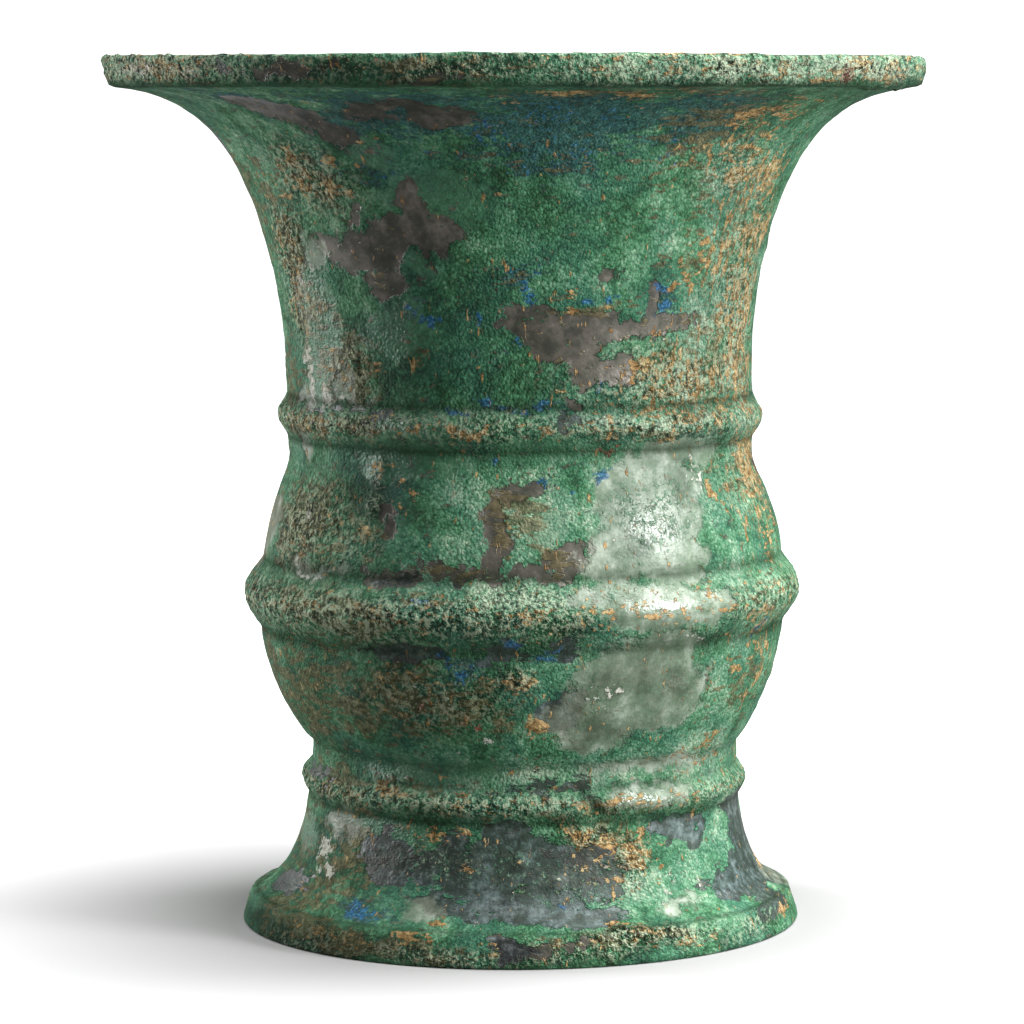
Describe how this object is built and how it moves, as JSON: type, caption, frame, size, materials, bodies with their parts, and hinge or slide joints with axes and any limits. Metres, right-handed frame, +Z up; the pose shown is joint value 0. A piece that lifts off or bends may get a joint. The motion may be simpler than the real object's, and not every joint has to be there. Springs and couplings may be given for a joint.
{
  "type": "bronze zun vessel",
  "caption": "Trumpet-mouthed bronze wine vessel on a flared ring foot, with a swelling belly, thin raised ridges and a thick upright lip, under an old green patina.",
  "frame": {"origin": "centre of the foot ring's underside, on the vessel's axis", "axes": "+Z up the vessel's axis, +X to the right of the side shown in the picture, -Y out of that side"},
  "size_m": [0.2364, 0.2364, 0.25],
  "materials": {
    "bronze_patina": "matte"
  },
  "bodies": {
    "root": {"zun_vessel": "bronze_patina"}
  },
  "joints": []
}
